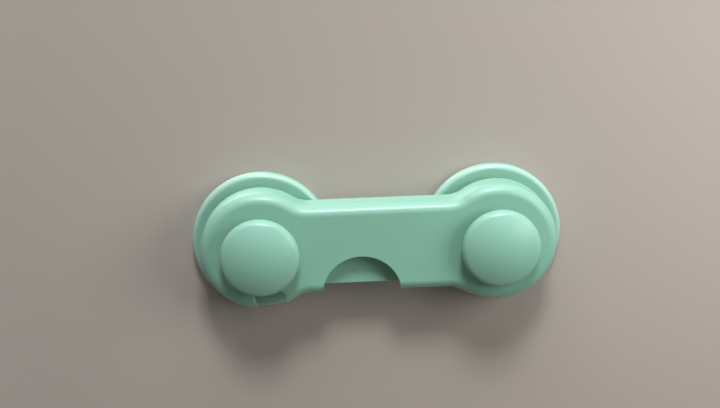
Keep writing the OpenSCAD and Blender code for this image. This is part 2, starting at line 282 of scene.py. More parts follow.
def pale_room():
    """A dim, even room, which the camera and reflections see as a plain pale backdrop."""
    world = bpy.data.worlds.new("pale_room")
    world.use_nodes = True
    tree = world.node_tree
    tree.nodes.clear()
    room = add_node(tree, "ShaderNodeBackground", Color=ROOM_COLOUR, Strength=ROOM_LIGHT)
    backdrop = add_node(tree, "ShaderNodeBackground", Color=STAGE_COLOUR)
    path = add_node(tree, "ShaderNodeLightPath").outputs
    mirrored = larger(tree, path["Is Glossy Ray"], path["Is Transmission Ray"])
    seen = mixed(tree, larger(tree, path["Is Camera Ray"], mirrored), room, backdrop)
    join(tree, (seen.outputs[0], tree.nodes.new("ShaderNodeOutputWorld").inputs["Surface"]))
    return world


bpy.context.scene.world = pale_room()
bpy.context.scene.view_settings.view_transform = "Standard"
print("world:", bpy.context.scene.world.name)

# %% [markdown]
# Satin mint plastic
#
# The lock is moulded in a soft mint plastic, coloured in the mass. Such a skin is never one flat colour.
# The dye flows in faint clouds, the mould's spark-eroded wall leaves a grain of a few tenths of a
# millimetre, and edges that hands rub turn a little paler and smoother. The paler tone on the roundings
# is partly that wear and partly a painted highlight. A picture could be wrapped round each piece, but it
# would stretch and show a seam. Noise and an edge reading on Object coordinates have no seam, and they
# stay on the piece when it moves. A little light also enters the plastic and comes out nearby, which is
# what the subsurface weight stands for.

# %% Noise, tones and ranges
CLOUD_SIZE, SMUDGE_SIZE, GRAIN_SIZE = 14 * MM, 5 * MM, 0.25 * MM
PLAIN_DETAIL, FINE_DETAIL = 2.0, 4.0


def opaque(colour):
    """A colour of red, green and blue that hides what is behind it."""
    return (*colour, 1.0)


def noise_of(tree, place, size, detail=PLAIN_DETAIL):
    """Noise whose blots are about as large as the given size."""
    node = add_node(tree, "ShaderNodeTexNoise", Scale=1.0 / size, Detail=detail)
    join(tree, (place, node.inputs["Vector"]))
    return node.outputs["Fac"]


def ramp_between(tree, source, low, high):
    """Turns a grey value into a colour between two tones."""
    ramp = add_node(tree, "ShaderNodeValToRGB")
    for element, tone in zip(ramp.color_ramp.elements, (low, high)):
        element.color = opaque(tone)
    join(tree, (source, ramp.inputs["Fac"]))
    return ramp.outputs["Color"]


def fit_range(tree, source, low, high):
    """Spreads a value from 0 to 1 over a range."""
    node = add_node(tree, "ShaderNodeMapRange", To_Min=low, To_Max=high)
    join(tree, (source, node.inputs["Value"]))
    return node.outputs["Result"]


print("clouds %.0f mm, smudges %.0f mm, grain %.2f mm" % (CLOUD_SIZE / MM, SMUDGE_SIZE / MM, GRAIN_SIZE / MM))

# %% Rubbed edges and a painted highlight
EDGE_START, EDGE_END = 0.45, 0.75
WHITE, BLACK = (1.0, 1.0, 1.0), (0.0, 0.0, 0.0)
MIX_SOCKETS = {"FLOAT": (0, 2, 3, 0), "RGBA": (0, 6, 7, 2)}  # places of share, first, second and result


# The mask below places the paler edge tone, which is partly wear and partly a painted highlight.
def rounded_edges(tree, normal):
    """How far a surface is part of a rounding: 0 on the front, the back and straight sides, 1 in between."""
    parts = add_node(tree, "ShaderNodeSeparateXYZ")
    facing = add_node(tree, "ShaderNodeMath", "ABSOLUTE")
    ramp = add_node(tree, "ShaderNodeValToRGB")
    tones = ramp.color_ramp.elements
    for place in (EDGE_START, EDGE_END):
        tones.new(place).color = opaque(WHITE)
    tones[-1].color = opaque(BLACK)
    join(tree, (normal, parts.inputs[0]), (parts.outputs["Y"], facing.inputs[0]),
         (facing.outputs[0], ramp.inputs["Fac"]))
    return ramp.outputs["Color"]


def wear_and_highlight(tree, kind, share, fresh, rubbed_and_highlit):
    """A number or a colour that turns from a fresh one, which varies, into a fixed edge one.
    For colour, that edge tone is partly wear and partly a painted highlight.
    """
    node = add_node(tree, "ShaderNodeMix")
    node.data_type = kind
    factor, first, second, result = MIX_SOCKETS[kind]
    join(tree, (share, node.inputs[factor]), (fresh, node.inputs[first]))
    node.inputs[second].default_value = rubbed_and_highlit
    return node.outputs[result]


# The paler edge tone is partly wear and partly a painted highlight on the roundings.
print("edges are rubbed in full where they lean by %.2f to %.2f" % (EDGE_START, EDGE_END))

# %% Moulded plastic
PLASTIC_IOR = 1.5
SCATTER_DEPTH, SCATTER_TINT = 1.2 * MM, (0.6, 1.0, 0.8)
GRAIN_DEPTH, GRAIN_STRENGTH = 0.012 * MM, 0.5
RUBBED_POLISH = 0.65
MINT_DARK, MINT_LIGHT = (0.235, 0.50, 0.375), (0.255, 0.53, 0.40)
# The edge colour of each plastic is partly wear and partly a painted highlight on the roundings.
PLASTICS = (  # name, dye from dark to light, rubbed edges, roughness from smooth to dull, light that enters
    ("satin_mint", MINT_DARK, MINT_LIGHT, (0.295, 0.575, 0.46), 0.44, 0.54, 0.12),
    # The base's edge colour is much paler: it paints the bright highlight along the discs' rims.
    ("satin_mint_base", MINT_DARK, MINT_LIGHT, (0.43, 0.66, 0.565), 0.44, 0.54, 0.12),
    ("satin_mint_button", (0.245, 0.515, 0.39), (0.265, 0.54, 0.415), (0.305, 0.59, 0.475), 0.40, 0.50, 0.12),
    ("natural_acetal", (0.80, 0.80, 0.75), (0.86, 0.86, 0.82), (0.90, 0.90, 0.88), 0.28, 0.40, 0.10))


def moulded_plastic(name, dark, light, rubbed_and_highlit, smooth, dull, scatter):
    """Plastic with cloudy dye, a fine mould grain, and smoother, paler edges: partly wear, partly a painted
    highlight.
    """
    material, tree, output = empty_material(name)
    skin = add_node(tree, "ShaderNodeBsdfPrincipled", IOR=PLASTIC_IOR, Subsurface_Weight=scatter,
                    Subsurface_Scale=SCATTER_DEPTH, Subsurface_Radius=SCATTER_TINT)
    coordinates = add_node(tree, "ShaderNodeTexCoord").outputs
    place = coordinates["Object"]
    edges = rounded_edges(tree, coordinates["Normal"])
    dye = ramp_between(tree, noise_of(tree, place, CLOUD_SIZE), dark, light)
    smudges = fit_range(tree, noise_of(tree, place, SMUDGE_SIZE, FINE_DETAIL), smooth, dull)
    bump = add_node(tree, "ShaderNodeBump", Strength=GRAIN_STRENGTH, Distance=GRAIN_DEPTH)
    join(tree, (wear_and_highlight(tree, "RGBA", edges, dye, opaque(rubbed_and_highlit)), skin.inputs["Base Color"]),
         (wear_and_highlight(tree, "FLOAT", edges, smudges, smooth * RUBBED_POLISH), skin.inputs["Roughness"]),
         (noise_of(tree, place, GRAIN_SIZE), bump.inputs["Height"]),
         (bump.outputs["Normal"], skin.inputs["Normal"]), (skin.outputs[0], output.inputs["Surface"]))
    return material


mint, mint_base, mint_button, acetal = [moulded_plastic(*recipe) for recipe in PLASTICS]
print("plastics:", mint.name, mint_base.name, mint_button.name, acetal.name)

# %% [markdown]
# Bright spring steel
#
# The springs, the clip and the screws are small steel pieces. Drawn wire and stamped strip carry fine
# scratches, along which light smears. Scratches could be cut into the mesh, but at this size they are
# only a change of sheen. A noise that is stretched along one axis gives such a brushed tone to the
# roughness and, very lightly, to the colour.

# %% Spring steel
SCRATCH_SIZE, SCRATCH_STRETCH = 0.4 * MM, (1.0, 8.0, 1.0)
STEEL_DARK, STEEL_LIGHT = (0.50, 0.51, 0.53), (0.66, 0.67, 0.69)
STEEL_SMOOTH, STEEL_DULL = 0.18, 0.38


def spring_steel():
    """Bright steel with fine scratches."""
    material, tree, output = empty_material("bright_spring_steel")
    skin = add_node(tree, "ShaderNodeBsdfPrincipled", Metallic=1.0)
    stretch = add_node(tree, "ShaderNodeMapping", Scale=SCRATCH_STRETCH)
    join(tree, (add_node(tree, "ShaderNodeTexCoord").outputs["Object"], stretch.inputs["Vector"]))
    scratches = noise_of(tree, stretch.outputs["Vector"], SCRATCH_SIZE, FINE_DETAIL)
    join(tree, (ramp_between(tree, scratches, STEEL_DARK, STEEL_LIGHT), skin.inputs["Base Color"]),
         (fit_range(tree, scratches, STEEL_SMOOTH, STEEL_DULL), skin.inputs["Roughness"]),
         (skin.outputs[0], output.inputs["Surface"]))
    return material


steel = spring_steel()
print("steel:", steel.name, "of", len(steel.node_tree.nodes), "nodes")

# %% [markdown]
# Closed-cell foam
#
# Each base sticks with a thin foam pad. Its cut edge shows tiny cells, and its face is a dull off-white.
# Real holes in the mesh would cost millions of faces. A Voronoi pattern is the natural picture of packed
# cells, and it drives both the bump and a slight darkening between them.

# %% Foam
CELL_SIZE, CELL_DEPTH, CELL_STRENGTH = 0.3 * MM, 0.08 * MM, 0.7
FOAM_PALE, FOAM_SHADE = (0.76, 0.76, 0.74), (0.62, 0.62, 0.60)
FOAM_ROUGHNESS, FOAM_SHEEN = 0.85, 0.2


def closed_cell_foam():
    """Dull foam with packed cells."""
    material, tree, output = empty_material("closed_cell_foam")
    skin = add_node(tree, "ShaderNodeBsdfPrincipled", Roughness=FOAM_ROUGHNESS, Sheen_Weight=FOAM_SHEEN)
    cells = add_node(tree, "ShaderNodeTexVoronoi", Scale=1.0 / CELL_SIZE)
    depth = cells.outputs["Distance"]
    bump = add_node(tree, "ShaderNodeBump", Strength=CELL_STRENGTH, Distance=CELL_DEPTH)
    bump.invert = True
    join(tree, (add_node(tree, "ShaderNodeTexCoord").outputs["Object"], cells.inputs["Vector"]),
         (ramp_between(tree, depth, FOAM_PALE, FOAM_SHADE), skin.inputs["Base Color"]),
         (depth, bump.inputs["Height"]), (bump.outputs["Normal"], skin.inputs["Normal"]),
         (skin.outputs[0], output.inputs["Surface"]))
    return material


foam = closed_cell_foam()
print("foam:", foam.name, "with cells of %.1f mm" % (CELL_SIZE / MM))

# %% [markdown]
# A lathe made of nodes
#
# Most pieces of the lock are turned forms: bases, caps, plungers, bushes. They could be stacked up from
# cylinders, with a bevel on every edge. On a lathe one profile makes the whole piece, and the same rule
# makes a good node tree. The object's own mesh is the profile, a line of points that give radius and
# height, with a fillet at each corner kept as a point attribute. The tree rounds the corners, sweeps the
# line round a circle and welds the seam and the poles.

# %% A tree with named inputs
NUMBER, WHOLE = "NodeSocketFloat", "NodeSocketInt"
MATERIAL_INPUT = ("Material", "NodeSocketMaterial")


def new_tree(name, *inputs):
    """A geometry tree with named inputs (name, socket type), a material and one geometry output."""
    tree = bpy.data.node_groups.new(name, "GeometryNodeTree")
    for label, kind in (("Geometry", "NodeSocketGeometry"), *inputs, MATERIAL_INPUT):
        tree.interface.new_socket(label, in_out="INPUT", socket_type=kind)
    tree.interface.new_socket("Geometry", in_out="OUTPUT", socket_type="NodeSocketGeometry")
    return tree, tree.nodes.new("NodeGroupInput").outputs, tree.nodes.new("NodeGroupOutput").inputs


LATHE, lathe_given, lathe_output = new_tree(
    "lathe", ("Sweep Radius", NUMBER), ("Sweep Steps", WHOLE), ("Fillet Steps", WHOLE))
print("inputs of the lathe:", lathe_given.keys())

# %% The lathe tree
SWEEP_STEPS = 128
FILLET_STEPS = 6
WELD = 0.001 * MM


def end_tree(tree, geometry, given, output):
    """Every tree ends in real, smooth-shaded geometry with its material."""
    smooth = add_node(tree, "GeometryNodeSetShadeSmooth")
    realize = add_node(tree, "GeometryNodeRealizeInstances")
    skin = add_node(tree, "GeometryNodeSetMaterial")
    join(tree, (geometry, smooth.inputs["Geometry"]),
         (smooth.outputs["Geometry"], realize.inputs["Geometry"]),
         (realize.outputs["Geometry"], skin.inputs["Geometry"]),
         (given["Material"], skin.inputs["Material"]), (skin.outputs["Geometry"], output["Geometry"]))
    return tree


def fill_lathe(tree, given, output):
    """Rounds the corners of a profile and sweeps it round a circle as wide as its largest radius."""
    line = add_node(tree, "GeometryNodeMeshToCurve")
    corner = add_node(tree, "GeometryNodeInputNamedAttribute", Name="fillet")
    corner.data_type = "FLOAT"
    fillet = add_node(tree, "GeometryNodeFilletCurve", Limit_Radius=True)
    fillet.mode = "POLY"
    back = add_node(tree, "ShaderNodeMath", "MULTIPLY")
    back.inputs[1].default_value = -1.0
    shift = add_node(tree, "ShaderNodeCombineXYZ")
    centre = add_node(tree, "GeometryNodeTransform")
    ring = add_node(tree, "GeometryNodeCurvePrimitiveCircle")
    sweep = add_node(tree, "GeometryNodeCurveToMesh")
    weld = add_node(tree, "GeometryNodeMergeByDistance", Distance=WELD)
    join(tree, (given["Geometry"], line.inputs["Mesh"]), (line.outputs["Curve"], fillet.inputs["Curve"]),
         (given["Fillet Steps"], fillet.inputs["Count"]),
         (corner.outputs["Attribute"], fillet.inputs["Radius"]),
         (given["Sweep Radius"], back.inputs[0]), (back.outputs[0], shift.inputs["X"]),
         (fillet.outputs["Curve"], centre.inputs["Geometry"]),
         (shift.outputs[0], centre.inputs["Translation"]),
         (given["Sweep Steps"], ring.inputs["Resolution"]), (given["Sweep Radius"], ring.inputs["Radius"]),
         (ring.outputs["Curve"], sweep.inputs["Curve"]),
         (centre.outputs["Geometry"], sweep.inputs["Profile Curve"]),
         (sweep.outputs["Mesh"], weld.inputs["Geometry"]))
    end_tree(tree, weld.outputs["Geometry"], given, output)


fill_lathe(LATHE, lathe_given, lathe_output)
print("lathe tree:", len(LATHE.nodes), "nodes")

# %% [markdown]
# Clean shading
#
# A moulded piece has flats that look flat and roundings that look round, with no streak between the two.
# Blender's smooth shading takes the average of all faces at a corner, which tips the shading of a flat
# next to its rounding. A Weighted Normal modifier can help, but not beside thin cut faces. So the
# direction of every corner is set by a rule here: flats at the front and the back keep theirs, and the
# rest is an average by area of what lies within an angle.

# %% Plain meshes and even shading
SMOOTH_LIMIT = math.cos(math.radians(35))
FACING = 0.9999


def plain_mesh(obj):
    """Replaces an object's mesh by what its modifiers make of it, and drops the modifiers."""
    bpy.context.view_layer.update()
    made = bpy.data.meshes.new_from_object(obj.evaluated_get(bpy.context.evaluated_depsgraph_get()))
    obj.modifiers.clear()
    obj.data = made
    return obj


def corner_normal(face, vertex):
    """Shading direction of a face's corner. Flats at the front and the back come first, then larger faces."""
    total = Vector()
    for other in vertex.link_faces:
        if other.normal.dot(face.normal) > SMOOTH_LIMIT:
            if abs(other.normal.y) > FACING:
                return other.normal.copy()
            total += other.normal * other.calc_area()
    return total.normalized() if total.length > 0 else face.normal.copy()


def even_shading(obj):
    """Shades round stretches smoothly and keeps flat ones flat, by setting the direction of every corner."""
    mesh = bmesh.new()
    mesh.from_mesh(obj.data)
    mesh.normal_update()
    normals = [corner_normal(face, loop.vert) for face in mesh.faces for loop in face.loops]
    mesh.free()
    obj.data.polygons.foreach_set("use_smooth", [True] * len(obj.data.polygons))
    obj.data.normals_split_custom_set(normals)
    return obj


print("faces are shaded together up to %.0f degrees" % math.degrees(math.acos(SMOOTH_LIMIT)))

# %% [markdown]
# From a profile to a piece
#
# Each turned piece is a line of points first. A node modifier with the lathe tree could stay on it, but
# the piece has to end as a plain mesh at the origin. The modifier is therefore applied at once, and the
# mesh is tipped so that its axis runs from the back to the front. A finished piece is then fastened to
# the body that it moves with.

# %% Turning
UPRIGHT = Matrix.Rotation(math.radians(-90), 4, "X")


def set_inputs(modifier, tree, values):
    """Sets a node modifier's inputs by the identifiers of their sockets."""
    modifier.node_group = tree
    for item in tree.interface.items_tree:
        if item.in_out == "INPUT" and item.name in values:
            modifier[item.identifier] = values[item.name]


def turned(name, profile, axis, material, closed=True, steps=SWEEP_STEPS):
    """A piece turned about an axis from back to front. Each point has a radius, a height and a fillet."""
    count = len(profile)
    edges = [(i, (i + 1) % count) for i in range(count if closed else count - 1)]
    obj = link_mesh(name, [(radius, height, 0) for radius, height, _ in profile], edges, [])
    attribute = obj.data.attributes.new("fillet", "FLOAT", "POINT")
    attribute.data.foreach_set("value", [fillet for _, _, fillet in profile])
    modifier = obj.modifiers.new("lathe", "NODES")
    set_inputs(modifier, LATHE, {"Sweep Radius": max(point[0] for point in profile), "Sweep Steps": steps,
                                 "Fillet Steps": FILLET_STEPS, "Material": material})
    plain_mesh(obj)
    obj.data.transform(Matrix.Translation(axis) @ UPRIGHT)
    return even_shading(obj)


def finish_piece(obj, body, slot, *nodes):
    """Fastens a finished piece to its body and lets it stand for its plain solids."""
    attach(obj, body)
    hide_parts(*nodes)
    print("%-20s %6d faces" % (obj.name, len(obj.data.polygons)))
    return obj


print("turned pieces have", SWEEP_STEPS, "steps round and", FILLET_STEPS, "in each fillet")

# %% [markdown]
# Base discs
#
# Each base is a disc with a well-rounded rim, painted pale along the rounding as a highlight, a raised
# seat that the arm rests on, and a hollow post. The left post carries a catch flange, and the right one a
# groove for the retaining clip. Two profiles could be written out in full. The bases differ in one short
# stretch only, so one profile takes what its post carries as an argument. The outer sizes are read from
# the frame, and what lies inside them is named here.

# %% Sizes of the bases
def extent(node):
    """Half the width, half the height, the back and the front of a solid in the frame."""
    low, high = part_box(node)
    return (high.x - low.x) / 2, (high.z - low.z) / 2, -high.y, -low.y


POSTS = {side: Vector((sum(corner.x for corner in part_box(side + "_base")) / 2, 0, 0))
         for side in ("left", "right")}
LEFT_POST, RIGHT_POST = POSTS.values()
POST_SPAN = RIGHT_POST.x - LEFT_POST.x
BASE_R, _, BASE_BACK, POST_TOP = extent("left_base")
BASE_T, SEAT_H = 3.5 * MM, 2.1 * MM
BASE_FRONT = BASE_BACK + BASE_T
SEAT_FRONT = BASE_FRONT + SEAT_H
BASE_ROUND, BASE_BACK_ROUND = 1.7 * MM, 0.5 * MM
SEAT_R, POST_R, STEM_BORE_R = 11.0 * MM, 3.7 * MM, 2.55 * MM
CHAMBER_R, CHAMBER_TOP = 3.75 * MM, 5.9 * MM
PLUG_HOLE_R, PLUG_FRONT = 4.67 * MM, 1.8 * MM
CATCH_R, CATCH_BACK, CATCH_FRONT = 6.0 * MM, 8.9 * MM, 10.1 * MM
GROOVE_R, GROOVE_BACK, GROOVE_FRONT = 3.2 * MM, 10.6 * MM, 11.2 * MM
SOFT_EDGE, FINE_EDGE, HOLLOW_EDGE = 0.35 * MM, 0.15 * MM, 0.5 * MM
print("bases of %.1f mm radius, posts %.1f mm apart" % (BASE_R / MM, POST_SPAN / MM))


# %% Bases
def base_profile(on_post):
    """From the plug's hole over the rim, the seat, the post and what it carries, to the bore."""
    return [
        (PLUG_HOLE_R, BASE_BACK, FINE_EDGE), (BASE_R, BASE_BACK, BASE_BACK_ROUND),
        (BASE_R, BASE_FRONT, BASE_ROUND), (SEAT_R, BASE_FRONT, HOLLOW_EDGE), (SEAT_R, SEAT_FRONT, SOFT_EDGE),
        (POST_R, SEAT_FRONT, HOLLOW_EDGE), *on_post, (POST_R, POST_TOP, FINE_EDGE),
        (STEM_BORE_R, POST_TOP, FINE_EDGE), (STEM_BORE_R, CHAMBER_TOP, 0), (CHAMBER_R, CHAMBER_TOP, 0),
        (CHAMBER_R, PLUG_FRONT, 0), (PLUG_HOLE_R, PLUG_FRONT, 0)]


CATCH_FLANGE = [(POST_R, CATCH_BACK, 0), (CATCH_R, CATCH_BACK, FINE_EDGE), (CATCH_R, CATCH_FRONT, FINE_EDGE),
                (POST_R, CATCH_FRONT, 0)]
CLIP_GROOVE = [(POST_R, GROOVE_BACK, 0), (GROOVE_R, GROOVE_BACK, 0), (GROOVE_R, GROOVE_FRONT, 0),
               (POST_R, GROOVE_FRONT, 0)]
for side, on_post in (("left", CATCH_FLANGE), ("right", CLIP_GROOVE)):
    base = turned(side + "_base_disc", base_profile(on_post), POSTS[side], mint_base)
    finish_piece(base, "bases", "mint_plastic", side + "_base")

# %% [markdown]
# Foam pads
#
# A pad is a disc of soft tape, so its edge bulges a little where the base presses on it. A cloth
# simulation could find that bulge. On a pad this thin, a large fillet on both corners of its profile
# gives the same pillow edge.

# %% Pads
PAD_R, _, PAD_BACK, PAD_FRONT = extent("left_pad")
PAD_T = PAD_FRONT - PAD_BACK
PAD_EDGE_SHARE, PAD_FILL = 0.45, 0.9
PAD_EDGE = PAD_EDGE_SHARE * PAD_T
PAD = [(0, 0, 0), (PAD_R, 0, PAD_EDGE), (PAD_R, PAD_T, PAD_EDGE), (0, PAD_T, 0)]
for side, post in POSTS.items():
    pad = turned(side + "_foam_pad", PAD, post, foam, closed=False)
    finish_piece(pad, "bases", "foam", side + "_pad")

# %% [markdown]
# Domed buttons
#
# A button cap is a dome with a rounded shoulder, hollow behind, with a hub that is pressed on its
# plunger. A flattened sphere would be quick, but its shoulder is never quite the right one. Here the dome
# is a true arc, and the shoulder is a smaller arc that runs into it without a kink, so highlights glide
# over the edge.

# %% The dome's line
CAP_R, _, CAP_BACK, CAP_TOP = extent("left_button_cap")
CAP_CROWN = 3.2 * MM
CAP_ROUND, CAP_BACK_ROUND = 2.4 * MM, 0.5 * MM
CROWN_STEPS = 16


def dome(radius, top, rise, rounding, steps):
    """Points up a side, round the shoulder and over a crown to the axis, without a kink on the way."""
    crown_r = (radius ** 2 + rise ** 2) / (2 * rise)
    lean = math.asin((radius - rounding) / (crown_r - rounding))
    shoulder = top - crown_r + (crown_r - rounding) * math.cos(lean)
    turns = [math.pi / 2 + (lean - math.pi / 2) * i / steps for i in range(steps)]
    points = [(radius - rounding * (1 - math.sin(a)), shoulder + rounding * math.cos(a), 0) for a in turns]
    turns = [lean * (steps - i) / steps for i in range(steps + 1)]
    return points + [(crown_r * math.sin(a), top - crown_r * (1 - math.cos(a)), 0) for a in turns]


CAP_DOME = dome(CAP_R, CAP_TOP, CAP_CROWN, CAP_ROUND, CROWN_STEPS)
print("dome line of", len(CAP_DOME), "points, radius %.2f mm" % (CAP_R / MM))

# %% Button caps
CAP_WALL = 1.6 * MM
CAP_ROOF, CAP_IN_R = CAP_TOP - CAP_CROWN - CAP_WALL, CAP_R - CAP_WALL
HUB_R = 4.6 * MM
SOCKET_R = 2.52 * MM
FACE_GAP = 0.05 * MM
STEM_TOP = -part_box("left_plunger")[0].y
SOCKET_ROOF = STEM_TOP + FACE_GAP
CAP = [  # from the axis inside the socket, over the hollow back and the rim, to the middle of the dome
    (0, SOCKET_ROOF, 0), (SOCKET_R, SOCKET_ROOF, 0), (SOCKET_R, CAP_BACK, FINE_EDGE),
    (HUB_R, CAP_BACK, FINE_EDGE), (HUB_R, CAP_ROOF, FINE_EDGE), (CAP_IN_R, CAP_ROOF, FINE_EDGE),
    (CAP_IN_R, CAP_BACK, FINE_EDGE), (CAP_R, CAP_BACK, CAP_BACK_ROUND), *CAP_DOME]
for side, post in POSTS.items():
    cap = turned(side + "_button_dome", CAP, post, mint_button, closed=False)
    finish_piece(cap, side + "_button", "button_plastic", side + "_button_cap")

# %% [markdown]
# The arm's outline
#
# The arm has a bone-shaped outline: two round heads, a slightly narrower bar and soft hollow blends
# between them. It could be traced with a curve by hand. It is made of arcs that touch, so the place where
# each blend leaves its head is worked out instead, and the outline can be drawn in by any amount without
# a kink.

# %% Outline of the arm
_, HEAD_R, ARM_BACK, ARM_FRONT = extent("arm_shell")
BAR_HALF = 13.6 * MM
BLEND_R = 8.0 * MM
BLEND_UP = BAR_HALF + BLEND_R
BLEND_IN = math.sqrt((HEAD_R + BLEND_R) ** 2 - BLEND_UP ** 2)
BLEND_TURN = math.degrees(math.atan2(BLEND_UP, BLEND_IN))
HEAD_STEPS, BLEND_STEPS = 84, 14


def arc(middle, radius, start, end, steps):
    """Points along an arc, with angles in degrees."""
    turns = [math.radians(start + (end - start) * i / steps) for i in range(steps + 1)]
    return [(middle[0] + radius * math.cos(a), middle[1] + radius * math.sin(a)) for a in turns]


def arm_outline(inset):
    """The bone outline, drawn in by an inset. An arc leaves its last point to an arc that starts there."""
    head, blend = HEAD_R - inset, BLEND_R + inset
    left, right = LEFT_POST.x, RIGHT_POST.x
    turn = BLEND_TURN
    return (arc((right, 0), head, turn - 180, 180 - turn, HEAD_STEPS)[:-1]
            + arc((right - BLEND_IN, BLEND_UP), blend, -turn, -90, BLEND_STEPS)
            + arc((left + BLEND_IN, BLEND_UP), blend, -90, turn - 180, BLEND_STEPS)[:-1]
            + arc((left, 0), head, turn, 360 - turn, HEAD_STEPS)[:-1]
            + arc((left + BLEND_IN, -BLEND_UP), blend, 180 - turn, 90, BLEND_STEPS)
            + arc((right - BLEND_IN, -BLEND_UP), blend, 90, turn, BLEND_STEPS)[:-1])


print("outline of", len(arm_outline(0)), "points")

# %% [markdown]
# Lofts and carving
#
# A moulding like the arm is a body with a rounded edge, and openings that the mould's cores leave. A
# Bevel modifier could round the edges after the cuts, but where two cuts meet it tears. Instead a loft
# through rings of one outline, each drawn in a little more than the last, gives the rounding exactly. The
# cutters flare at the face, which leaves a fine rounding on the edges that they cut.

# %% Roundings
def quarter(steps):
    """Angles over a quarter turn."""
    return [math.radians(90 * i / steps) for i in range(steps + 1)]


def round_front(edge, front, steps):
    """Insets and heights round an edge, from a side to the front."""
    return [(edge * (1 - math.cos(a)), front - edge * (1 - math.sin(a))) for a in quarter(steps)]


def round_back(edge, back, steps):
    """Insets and heights round an edge, from the back to a side."""
    return [(edge * (1 - math.sin(a)), back + edge * (1 - math.cos(a))) for a in quarter(steps)]


print("insets of a 1 mm rounding in 3 steps:", [round(inset, 2) for inset, _ in round_front(1, 0, 3)])

# %% Lofts
CIRCLE_STEPS = 64
CUT_EDGE, CUT_STEPS = 0.4 * MM, 6
OVERRUN = 1.0 * MM
TOUCH = 0.01 * MM


def lofted(name, rings):
    """A closed body through rings of (outline, height off the back), capped flat at both ends."""
    count = len(rings[0][0])
    points = [(x, -out, up) for outline, out in rings for x, up in outline]
    faces = [tuple(range(count))[::-1], tuple(range(len(points) - count, len(points)))]
    for ring in range(len(rings) - 1):
        for i in range(count):
            a, b = ring * count + i, ring * count + (i + 1) % count
            faces.append((a, b, b + count, a + count))
    return link_mesh(name, points, [], faces)


def prism(name, outline, back, front):
    """A straight body between two heights."""
    return lofted(name, [(outline, back), (outline, front)])


def circle(middle, radius, steps=CIRCLE_STEPS):
    """A round outline."""
    return arc(middle, radius, 0, 360, steps)[:-1]


def flared(name, grown, back, front, edge=CUT_EDGE):
    """A cutter that opens out at the face; grown gives its outline, grown by an amount."""
    rings = [(0, back - OVERRUN), *round_front(edge, front + TOUCH, CUT_STEPS), (edge, front + OVERRUN)]
    return lofted(name, [(grown(growth), out) for growth, out in rings])


print("cutters run %.1f mm past the faces that they cut" % (OVERRUN / MM))

# %% [markdown]
# The arm's shell
#
# The shell is the hollow front half of the arm. Its face is a plate with a keyhole and a slot that the
# left post slides through, and a half-moon pocket for a fingertip opens in its lower edge. A Solidify
# modifier could give the wall, but the plate is thicker than the sides. One loft therefore runs from the
# roof of the hollow over the back rim to the face, and the openings are carved out of it.

# %% Rings of the shell
ARM_ROUND, ARM_BACK_ROUND = 3.0 * MM, 0.4 * MM
PLATE_T, WALL_T, COVER_T = 2.2 * MM, 2.0 * MM, 1.5 * MM
PLATE_BACK = ARM_FRONT - PLATE_T
COVER_FRONT = ARM_BACK + COVER_T
ROUND_STEPS, BACK_STEPS = 10, 3


def shell_rings():
    """Rings from the roof of the hollow, over the back rim and up the side, to the edge of the face."""
    rings = [(WALL_T, PLATE_BACK), (WALL_T, ARM_BACK), *round_back(ARM_BACK_ROUND, ARM_BACK, BACK_STEPS),
             *round_front(ARM_ROUND, ARM_FRONT, ROUND_STEPS)]
    return [(arm_outline(inset), out) for inset, out in rings]


shell = lofted("arm", shell_rings())
print("shell of", len(shell_rings()), "rings")

# %% Pocket wall and screw bosses
POCKET_SHIFT, POCKET_DROP = 5.8 * MM, 0.8 * MM
POCKET = (LEFT_POST.x + POST_SPAN / 2 - POCKET_SHIFT, -BAR_HALF - POCKET_DROP)
POCKET_R, POCKET_WALL = 12.0 * MM, 1.5 * MM
SCREW_INSET, SCREW_RISE = 15.5 * MM, 7.6 * MM
SCREW_PLACES = [(x, up) for x in (RIGHT_POST.x - SCREW_INSET, LEFT_POST.x + SCREW_INSET)
                for up in (-SCREW_RISE, SCREW_RISE)]
BOSS_R, BOSS_STEPS = 2.6 * MM, 32
INTO_PLATE = PLATE_BACK + WALL_T / 2


def carve(obj, operation, others):
    """Adds or removes solid bodies, which are used up."""
    for other in others:
        cut = obj.modifiers.new(other.name, "BOOLEAN")
        cut.solver = "MANIFOLD"
        cut.operation = operation
        cut.object = other
    plain_mesh(obj)
    print("%s: %s of %d bodies" % (obj.name, operation.lower(), len(others)))
    for other in others:
        bpy.data.objects.remove(other)
    return obj


def at_screws(name, radius, steps, back, front):
    """Round bodies at the four places of the screws."""
    return [prism(name, circle(place, radius, steps), back, front) for place in SCREW_PLACES]


def pocket_wall():
    """The wall that closes the hollow behind the finger pocket."""
    outer = POCKET_R + POCKET_WALL
    start = math.degrees(math.asin((-BAR_HALF + WALL_T / 2 - POCKET[1]) / outer))
    return prism("pocket_wall", arc(POCKET, outer, start, 180 - start, CIRCLE_STEPS), COVER_FRONT, INTO_PLATE)


carve(shell, "UNION", [pocket_wall(), *at_screws("boss", BOSS_R, BOSS_STEPS, COVER_FRONT, INTO_PLATE)])

# %% Outlines of the slot
SLOT_HALF, PLATE_SLOT_HALF = 4.2 * MM, 3.9 * MM
PATH_STEPS, PATH_END_STEPS = 24, 32
MOUTH_RIGHT, MOUTH_H, MOUTH_TAPER_H = 6.9 * MM, 5.0 * MM, 10.0 * MM
PATH_SWEEP = math.degrees(math.asin((HEAD_R + SLOT_HALF) / POST_SPAN))


def post_path(half):
    """The band that a post sweeps through the arm as the arm is lifted, with a round inner end."""
    middle = (RIGHT_POST.x, 0)
    return (arc(middle, POST_SPAN + half, 180, 180 + PATH_SWEEP, PATH_STEPS)
            + arc(middle, POST_SPAN - half, 180 + PATH_SWEEP, 180, PATH_STEPS)[:-1]
            + arc((LEFT_POST.x, 0), half, 0, 180, PATH_END_STEPS)[:-1])


